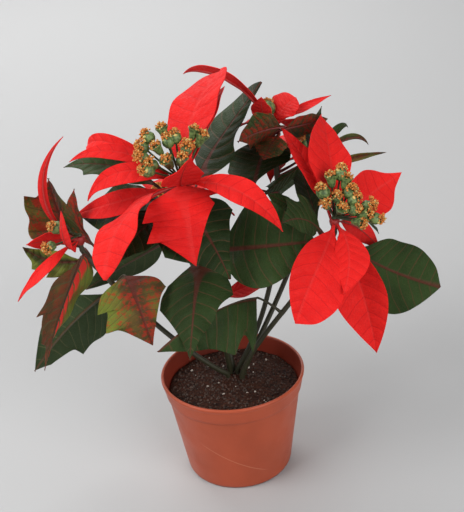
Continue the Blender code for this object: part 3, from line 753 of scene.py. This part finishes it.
# Stem A carries the largest head. Each stem is a wire core in olive-brown plastic; its leaves
# are green cloth blades on thin petioles that leave the stem one above the other.
LEAF_GREEN = (0.032, 0.062, 0.016)
LEAF_DARK = (0.010, 0.023, 0.006)
LEAF_VEIN = (0.085, 0.048, 0.022)
LEAF_RIB = (0.100, 0.026, 0.018)
LIME = (0.20, 0.25, 0.035)
BLUSH = (0.40, 0.022, 0.014)
BROWN = (0.16, 0.050, 0.026)
BRIGHT_PATCH = (0.78, 0.040, 0.030)
STEM_SAMPLES = 26
UPRIGHT_TOP = 88.0
STEM_BOTTOM = 66.0
NECK_DROP = 9.8
STEM_GAP = 4.4


def leaf_material(name, green, dark, vein, rib, dullness):
    """Green cloth, darker in clouds. Lime edges, brown wash and red speckle come with a blade's
    lime and blush; a blush above 1 also lays bright red on one side of the rib."""
    material, tree, shader = new_material(name)
    masks, (tone, blush, lime) = blade_masks(tree)
    place = object_place(tree)
    cloud = times(speckle(place, 30.0, 4.0), 0.65)
    share = ramp(plus(cloud, times(tone, 0.35)), 0.28, 0.72)
    colour = blend_colour(share, dark, green)
    turned = times(calc("MAXIMUM", minus(blush, 1.0), 0.0), 4.0)
    outside = plus(times(masks["Wide"], 2.2), times(times(masks["Side"], 3.2), turned))
    outside = plus(outside, times(lime, 0.3))
    pale = ramp(plus(speckle(place, 60.0, 5.0), outside), 0.72, 1.2)
    colour = blend_colour(times(pale, lime), colour, LIME)
    wash = ramp(minus(speckle(place, 40.0, 4.0), masks["Wide"]), 0.15, 0.55)
    colour = blend_colour(times(times(wash, blush), 0.55), colour, BROWN)
    spots = plus(times(speckle(place, 420.0, 5.0), 0.55), times(speckle(place, 75.0, 4.0), 0.6))
    spots = plus(spots, times(masks["Pillows"], 0.07))
    red = ramp(minus(spots, times(masks["Wide"], 0.25)), 0.55, 0.70)
    red = times(red, minus(1.0, times(turned, 0.75)))
    colour = blend_colour(times(times(red, blush), 0.8), colour, BLUSH)
    by_rib = times(ramp(masks["Side"], 0.004, 0.016), ramp(masks["Side"], 0.13, 0.20, 1.0, 0.0))
    flecks = ramp(plus(masks["Pillows"], times(spots, 0.5)), 0.32, 0.5)
    colour = blend_colour(times(times(by_rib, flecks), turned), colour, BRIGHT_PATCH)
    colour = veined(colour, masks, vein, rib, (0.8, 0.12, 0.85))
    coat(shader, colour, ramp(speckle(place, 200.0), 0.3, 0.7, dullness, dullness + 0.14), 0.1)
    press_cloth(shader, masks, 0.3, 1.0, times(speckle(place, 600.0, 2.0), 0.4), 0.65)
    return material


leaf_top = leaf_material("leaf_cloth", LEAF_GREEN, LEAF_DARK, LEAF_VEIN, LEAF_RIB, 0.45)
leaf_under = leaf_material("leaf_cloth_back", (0.052, 0.078, 0.032), (0.030, 0.050, 0.020),
                           (0.085, 0.090, 0.040), (0.13, 0.070, 0.040), 0.62)
stem_skin = stalk_material("stem_skin", (0.030, 0.030, 0.013), (0.050, 0.044, 0.020), 0.08, 0.26)
petiole_skin = stalk_material("petiole_skin", (0.040, 0.036, 0.015), (0.15, 0.018, 0.013), 0.18, 0.27)


def bezier(start, low, high, end, share):
    """A point of the curve from start to end that two more points pull on."""
    rest = 1 - share
    terms = (rest ** 3, 3 * rest ** 2 * share, 3 * rest * share ** 2, share ** 3)
    return sum((Vector(point) * term for point, term in zip((start, low, high, end), terms)), Vector())


def stem_line(foot, low, high, hub):
    """Points along a stem, from under the fill to just below its head."""
    neck = (hub[0], hub[1], hub[2] - NECK_DROP)
    mouth = (foot[0], foot[1], UPRIGHT_TOP)
    rise = [bezier(mouth, low, high, neck, step / STEM_SAMPLES) for step in range(STEM_SAMPLES + 1)]
    return [Vector((foot[0], foot[1], STEM_BOTTOM))] + rise + [Vector((hub[0], hub[1], hub[2] - STEM_GAP))]


def at_height(line, height):
    """The stem line's point at a height."""
    for low, high in zip(line, line[1:]):
        if low.z <= height <= high.z:
            return low.lerp(high, (height - low.z) / (high.z - low.z))
    return line[-1].copy()


def petiole_route(blade, number, line):
    """A petiole from the stem to its blade, then on as the blade's rib."""
    start = Vector(blade.start)
    level = at_height(line, start.z)
    away = math.hypot(start.x - level.x, start.y - level.y)
    root = at_height(line, min(start.z - 0.5 * away - 2.0, line[-2].z - 2.5 * number))
    heading = Vector(axes_at(blade, np.array([0.0]))[0][0])
    rise = start - heading * min(away * 0.4, 10.0)
    middle = root.lerp(rise, 0.6)
    radii = {0: 1.7, 0.15: 1.35, 0.3: 1.15, 0.45: 1.05, 0.6: 1.0, 0.75: 1.0, 0.9: 1.0}
    bend = [(root.lerp(middle, 2 * t).lerp(middle.lerp(start, t), t), radius) for t, radius in radii.items()]
    return bend + rib_route(blade, blade.start, 1.05), root.z


def make_leafy_stem(letter, hub, foot, low, high, leaves):
    """One stem with its petioles, ribs and leaves."""
    line = stem_line(foot, low, high, hub)
    routes, roots = zip(*(petiole_route(blade, number, line) for number, blade in enumerate(leaves)))
    swell = [sum(0.55 * math.exp(-((point.z - root) / 1.6) ** 2) for root in roots) for point in line]
    trunk = [(point, 2.45 - 0.35 * step / len(line) + min(swell[step], 0.7))
             for step, point in enumerate(line)]
    stem = draw_tubes("stem", [trunk], stem_skin)
    petioles = draw_tubes("petioles", routes, petiole_skin)
    cloth = cut_blades("leaves_" + letter, leaves, [blade.start for blade in leaves], (leaf_top, leaf_under))
    piece = join_pieces([cloth, stem, petioles], "leaf_spray_" + letter)
    bpy.ops.object.shade_smooth_by_angle(angle=math.radians(42))
    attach(piece, "root")
    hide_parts("leafy_stem_" + letter)


make_leafy_stem("a", (-27, -20, 290), (-2.0, 14.5), (-5, 2, 135), (-16, -12, 200), (
    Blade(-56, 12, -33, 32, -14, -2, 75, 32, 40, "early", "shoulder", (-26, -20, 276)),
    Blade(-102, -2, -29, 25, -7, -15, 88, 30, 37, "early", "shoulder", (-19, -10, 216)),
    Blade(157, 12, 36, 50, 20, 14, 88, 24, 16, "spiked", "plain", (-46, 2, 280)),
    Blade(75, -60, 15, -34, 5, -2, 113, 30, 21, "blunt", "early", (-14, 6, 282)),
    Blade(171, 1, -13, -3, 24, 4, 78, 30, 28, "plain", "plain", (-41, 8, 268)),
    Blade(-138, -21, -10, 38, 20, 11, 69, 21, 16, "plain", "plain", (-37, -15, 271)),
    Blade(-49, 50, 22, 21, -53, 18, 97, 41, 38, "plain", "plain", (-5, 5, 215)),
    Blade(147, 46, -34, -8, -85, 35, 95, 16, 22, "plain", "plain", (-43, 2, 232)),
))


# Stem B leans out to the right and carries a folded leaf low over the pot. Core, petioles and
# cloth leaves are made as on stem A.
make_leafy_stem("b", (96, -12, 241), (8.5, 4.5), (22, 4, 130), (75, -6, 175), (
    Blade(-164, 18, 66, 74, 32, 8, 43, 19, 26, "plain", "spiked", (82, -29, 240)),
    Blade(1, 0, -41, -19, -39, 2, 96, 33, 40, "blunt", "plain", (106, -6, 215)),
    Blade(116, -24, 67, 44, -31, 7, 60, 17, 12, "plain", "plain", (85, 12, 226)),
    Blade(-177, -12, 35, 3, 21, 12, 35, 16, 7, "plain", "plain", (72, 15, 241)),
    Blade(-129, -43, 24, 65, 8, -51, 109, 44, 44, "low_spike", "plain", (26, -6, 173)),
    Blade(35, 12, -20, 35, 0, 8, 82, 22, 20, "shoulder", "plain", (102, 4, 212)),
))


# Stem C leans far out to the left. Its leaves are the same cloth, but most of them are
# printed as turning: red by the rib, lime at the edge.
make_leafy_stem("c", (-117, -5, 243), (-4.5, 8.0), (-25, -4, 108), (-78, -5, 165), (
    Blade(-171, 37, -60, 4, -54, 6, 107, 32, 32, "spiked", "early", (-116, -14, 232), 1.25, 0.8),
    Blade(145, 60, -38, 10, -85, 23, 118, 22, 39, "plain", "late_spike", (-98, 5, 187)),
    Blade(-73, 16, -18, 50, -3, 6, 67, 29, 35, "early", "two_lobes", (-83, -10, 207), 0.85, 0.7),
    Blade(-176, -19, -15, -58, 27, 7, 57, 20, 10, "spiked", "plain", (-116, 4, 221), 0.1, 1.0),
    Blade(138, -15, 26, -60, -31, -15, 70, 42, 25, "horned", "plain", (-117, 10, 228), 0.9, 0.75),
    Blade(-178, 6, 58, -43, -32, -5, 57, 7, 24, "plain", "shoulder", (-107, 8, 229), 1.0, 0.15),
))


# Stem D rises steeply at the back. The three leaves right under its head are printed with
# red speckle, the others are plain green cloth.
make_leafy_stem("d", (53, 55, 308), (4.5, 14.5), (30, 18, 125), (62, 30, 200), (
    Blade(-159, -5, 9, 32, -55, 6, 44, 23, 33, "plain", "spiked", (63, 46, 308), 0.8, 0.3),
    Blade(19, -13, 1, -5, 58, 8, 44, 20, 12, "plain", "plain", (59, 47, 305), 0.95, 0.15),
    Blade(-135, -7, -30, 18, -11, 3, 27, 22, 19, "plain", "plain", (58, 42, 303), 0.8, 0.1),
    Blade(80, -27, 17, -26, 18, 2, 50, 36, 32, "blunt", "blunt", (33, 30, 264)),
    Blade(71, -24, 31, -20, 28, 8, 45, 8, 9, "slim", "slim", (83, 52, 282)),
    Blade(-176, -8, -30, 9, 10, 12, 48, 13, 5, "slim", "slim", (78, 25, 281)),
))


# Stem E leans back to the right. Three narrow leaves reach out beyond head B and three broad
# ones close the back.
make_leafy_stem("e", (88, 82, 262), (10.5, 11.0), (36, 22, 135), (85, 45, 205), (
    Blade(-22, 24, 28, 29, -34, 15, 64, 3, 6, "slim", "slim", (95, 80, 252), 0.3, 0.5),
    Blade(4, 39, 76, 132, 66, 11, 69, 3, 5, "slim", "slim", (97, 84, 252), 0.35, 0.4),
    Blade(7, 69, 85, 125, -65, 10, 69, 5, 3, "slim", "slim", (95, 86, 253)),
    Blade(110, 10, -10, 50, 0, 8, 88, 24, 22, "shoulder", "plain", (84, 90, 240)),
    Blade(51, -10, -18, 42, 0, 8, 90, 24, 24, "plain", "spiked", (93, 88, 236)),
    Blade(4, 10, -24, 35, 0, 8, 78, 20, 20, "plain", "plain", (93, 75, 231)),
))


# Stem F leans back to the left, with four broad green leaves on petioles under its head,
# made like the others.
make_leafy_stem("f", (-45, 72, 232), (1.0, 20.5), (-4, 36, 130), (-30, 60, 180), (
    Blade(165, 8, -20, 40, 0, 8, 84, 24, 22, "shoulder", "plain", (-52, 76, 212)),
    Blade(110, 10, -25, 35, 0, 8, 86, 24, 24, "plain", "shoulder", (-44, 80, 206)),
    Blade(60, -8, -20, 40, 0, 8, 84, 22, 22, "spiked", "plain", (-36, 76, 208)),
    Blade(15, 6, -25, 30, 0, 8, 70, 20, 20, "plain", "plain", (-34, 66, 200)),
))


# The small true flowers in the middle of head A: green cups on stalks, each with a crumbly
# orange tuft at its mouth, pale yellow grains in it, and on some a yellow gland at the side.
# They are moulded in soft plastic and stand on a common foot on the receptacle.
CUP_GREEN = (0.17, 0.25, 0.075)
CUP_DARK = (0.045, 0.085, 0.025)
STALK_GREEN = (0.030, 0.045, 0.016)
TUFT_ORANGE = (0.70, 0.25, 0.035)
TUFT_BROWN = (0.36, 0.105, 0.022)
GLAND = (0.70, 0.46, 0.14)
CupKind = namedtuple("CupKind", "body mouth grains spread")
OVOID = CupKind([(0.7, -5.0), (2.8, -4.4), (4.3, -2.2), (4.6, 0.2), (3.9, 2.2), (2.7, 3.2), (3.0, 4.0),
                 (2.2, 3.8), (1.2, 2.6)], 3.0, 80, 4.3)
BELL = CupKind([(0.7, -5.0), (2.0, -4.0), (2.8, -1.6), (3.3, 1.0), (4.3, 3.2), (5.0, 4.4), (4.6, 4.6),
                (3.2, 3.2), (1.2, 1.6)], 3.4, 70, 4.6)
TUFTED = CupKind([(0.7, -5.0), (2.4, -4.2), (3.6, -2.0), (3.7, -0.4), (3.1, 1.0), (2.6, 1.8), (2.8, 2.5),
                  (2.2, 2.3), (1.0, 1.0)], 1.2, 120, 5.4)
LONG_GRAINS = 0.3
YELLOW_STEP = 7
GLAND_PLACE = (3.4 * MM, 0, 2.6 * MM)


def mottled_material(name, first, second, scale, roughness, strength):
    """Two colours in soft mottles over a crumbly skin."""
    material, tree, shader = new_material(name)
    place = object_place(tree)
    cloud = speckle(place, scale, 4.0)
    coat(shader, blend_colour(ramp(cloud, 0.35, 0.65), first, second), roughness)
    relief(shader, cloud, strength, 0.0006)
    return material


cup_skin = mottled_material("cup_green", CUP_DARK, CUP_GREEN, 420.0, 0.5, 0.5)
tuft_crumb = mottled_material("stamen_orange", TUFT_BROWN, TUFT_ORANGE, 900.0, 0.7, 0.4)
gland_skin = mottled_material("gland_yellow", GLAND, (0.50, 0.44, 0.14), 300.0, 0.45, 0.2)
stalk_skin = stalk_material("cup_stalk", STALK_GREEN, (0.055, 0.095, 0.030), 0.24, 0.34)


def grow_cup(kind, seed):
    """A cup of one kind, upright with its middle at the origin."""
    draw = random.Random(seed)
    pull_rings(kind.body, 12)
    cup = finish_mesh("cup", 60)
    for vert in cup.data.vertices:
        vert.co *= 1.0 + 0.08 * noise.noise(vert.co * 420 + Vector((seed, 0, 0)))
    cup.data.materials.append(cup_skin)
    parts = [cup]
    for number in range(kind.grains):
        lean = math.radians(draw.uniform(0, 86))
        turn = draw.uniform(0, math.tau)
        far = kind.spread * draw.uniform(0.6, 1.0)
        way = Vector((math.sin(lean) * math.cos(turn), math.sin(lean) * math.sin(turn), math.cos(lean)))
        spot = way * far + Vector((0, 0, kind.mouth))
        if draw.random() < LONG_GRAINS:
            outwards = way.to_track_quat("Z", "Y").to_euler()
            bpy.ops.mesh.primitive_cone_add(vertices=4, radius1=0.45 * MM, radius2=0.3 * MM,
                                            depth=1.9 * MM, location=spot * MM, rotation=outwards)
        else:
            bpy.ops.mesh.primitive_ico_sphere_add(subdivisions=1, radius=draw.uniform(0.45, 0.9) * MM,
                                                  location=spot * MM)
        bpy.ops.object.transform_apply(location=True, rotation=True, scale=False)
        bpy.context.object.data.materials.append(gland_skin if number % YELLOW_STEP == 0 else tuft_crumb)
        parts.append(bpy.context.object)
    if kind is OVOID:
        bpy.ops.mesh.primitive_ico_sphere_add(subdivisions=2, radius=1.3 * MM, location=GLAND_PLACE)
        bpy.ops.transform.resize(value=(0.7, 1.2, 0.8), center_override=GLAND_PLACE)
        bpy.ops.object.transform_apply(location=True, rotation=True, scale=True)
        bpy.context.object.data.materials.append(gland_skin)
        parts.append(bpy.context.object)
    return join_pieces(parts, "grown_cup")


grown_cups = [grow_cup(kind, seed) for seed in (1, 2) for kind in (OVOID, BELL, TUFTED)]


def make_cyathia(letter, hub, cups):
    """One head's cups, copied from the grown ones and set on their stalks."""
    draw = random.Random(sum(hub) + 500)
    foot = Vector(hub) + Vector((0, 0, 4.0))
    stalks = [[(foot + Vector((0, 0, -0.6)), 2.2), (foot + Vector((0, 0, 1.2)), 1.9)]]
    parts = []
    for number, offset in enumerate(cups):
        place = Vector(hub) + Vector(offset)
        axis = (place - foot).normalized()
        bow = Vector((-axis.y, axis.x, 0.0)) * draw.uniform(-0.8, 0.8)
        stalks.append([(foot.lerp(place, t) + bow * math.sin(math.pi * t), 0.9 - 0.15 * t)
                       for t in (0.0, 0.2, 0.4, 0.6, 0.8, 0.96)])
        source = grown_cups[(number * 5 + number // 3) % len(grown_cups)]
        cup = source.copy()
        cup.data = source.data.copy()
        size = draw.uniform(1.05, 1.3)
        turn = axis.to_track_quat("Z", "Y").to_matrix().to_4x4() @ Matrix.Rotation(draw.uniform(0, 6), 4, "Z")
        cup.data.transform(Matrix.Translation(place * MM) @ turn @ Matrix.Scale(size, 4))
        bpy.context.collection.objects.link(cup)
        parts.append(cup)
    stems = draw_tubes("cup_stalks", stalks, stalk_skin)
    piece = join_pieces([stems] + parts, "flower_cups_" + letter)
    bpy.ops.object.shade_smooth_by_angle(angle=math.radians(60))
    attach(piece, "root")
    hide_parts("cyathia_" + letter)


make_cyathia("a", (-27, -20, 290), ((-22, 1, 42), (-27, -3, 36), (-10, 3, 44), (-15, -5, 33),
                                    (-7, -1, 38), (-28, -8, 29), (-21, -11, 24), (-8, -10, 23),
                                    (-25, -14, 20), (-1, 1, 40), (7, -4, 32), (13, 2, 41), (18, 0, 36),
                                    (3, -9, 24)))


# The cups of head B spill over to the right. They are the same moulded cups, on stalks from
# one foot.
make_cyathia("b", (96, -12, 241), ((-9, -3, 29), (-7, -8, 20), (-1, 2, 36), (10, 1, 34), (7, 5, 41),
                                   (13, -3, 27), (2, -5, 24), (4, -10, 15), (16, -6, 21), (15, -10, 14),
                                   (27, -8, 16), (22, -12, 10), (17, -15, 5), (32, -13, 6)))


# The half-open head C shows two moulded cups, on stalks that lean out to the front and the
# left.
make_cyathia("c", (-117, -5, 243), ((-16, -12, 18), (-22, -22, 6)))


# Two cups sit deep in head D, to the back between its bracts. They are moulded like the rest
# and stand on short stalks.
make_cyathia("d", (53, 55, 308), ((-1, 9, 12), (-4, 17, 9)))


# The back heads E and F have four cups each, close together on short stalks. After them the
# grown cups, which all heads were copied from, are taken away.
make_cyathia("e", (88, 82, 262), ((4, 6, 16), (-5, 4, 15), (0, 10, 12), (8, 12, 12)))
make_cyathia("f", (-45, 72, 232), ((4, 2, 16), (-6, 3, 15), (0, 9, 13), (-3, -5, 13)))
for cup in grown_cups:
    bpy.data.objects.remove(cup, do_unlink=True)


# The studio: a round grey paper floor that sweeps up into a wall on every side. It is open
# above, so that the room's light falls in.
SWEEP_GREY = (0.44, 0.44, 0.44)
SWEEP_FLAT = 2300
SWEEP_CURVE = 700
SWEEP_TOP = 1500
turns = [math.radians(turn) for turn in range(0, 91, 9)]
sweep_profile = [(SWEEP_FLAT + SWEEP_CURVE * math.sin(turn), SWEEP_CURVE * (1 - math.cos(turn)))
                 for turn in turns]
sweep_profile.append((SWEEP_FLAT + SWEEP_CURVE + 10, SWEEP_TOP))
bpy.ops.object.select_all(action="DESELECT")
pull_rings(sweep_profile, 96, closed=False)
sweep = finish_mesh("sweep", 30)
paper, _, shader = new_material("sweep_paper")
coat(shader, SWEEP_GREY, 0.9)
sweep.data.materials.append(paper)


# Soft light: broad boxes from the upper left, from the right front and over the back of the
# sweep, in a dim pale room.
def soft_box(name, place, aim, size, power):
    light = bpy.data.lights.new(name, "AREA")
    light.shape = "SQUARE"
    light.size = size
    light.energy = power
    box = bpy.data.objects.new(name, light)
    bpy.context.collection.objects.link(box)
    box.location = place
    box.rotation_euler = (Vector(aim) - Vector(place)).to_track_quat("-Z", "Y").to_euler()


soft_box("key", (-1.45, -0.6, 1.5), (-0.2, 0.1, 0.1), 1.5, 40.0)
soft_box("fill", (1.2, -1.6, 1.0), (0, 0, 0.15), 1.6, 32.0)
soft_box("far", (-0.5, 2.1, 1.6), (-0.2, 1.6, 0.0), 2.4, 56.0)
world = bpy.data.worlds.new("room")
bpy.context.scene.world = world
world.use_nodes = True
room = world.node_tree.nodes["Background"]
feed(room.inputs["Color"], (0.95, 0.97, 1.0))
feed(room.inputs["Strength"], 0.2)
bpy.context.scene.view_settings.view_transform = "Standard"


# The camera looks down on the plant from the front, tilted a little to one side. Its place,
# lens and turns were fitted to the pot's rim and foot in the photo.
CAMERA_PLACE = (0.0, -0.7666, 0.594)
CAMERA_LENS = 70.3
CAMERA_TURNS = ((-0.64, "Z"), (63.52, "X"), (-4.93, "Z"))
camera_data = bpy.data.cameras.new("camera")
camera_data.sensor_fit = "VERTICAL"
camera_data.sensor_height = 36.0
camera_data.lens = CAMERA_LENS
camera = bpy.data.objects.new("camera", camera_data)
bpy.context.collection.objects.link(camera)
roll, tilt, turn = (Matrix.Rotation(math.radians(angle), 3, axis) for angle, axis in CAMERA_TURNS)
camera.rotation_euler = (roll @ tilt @ turn).to_euler()
camera.location = CAMERA_PLACE
bpy.context.scene.camera = camera
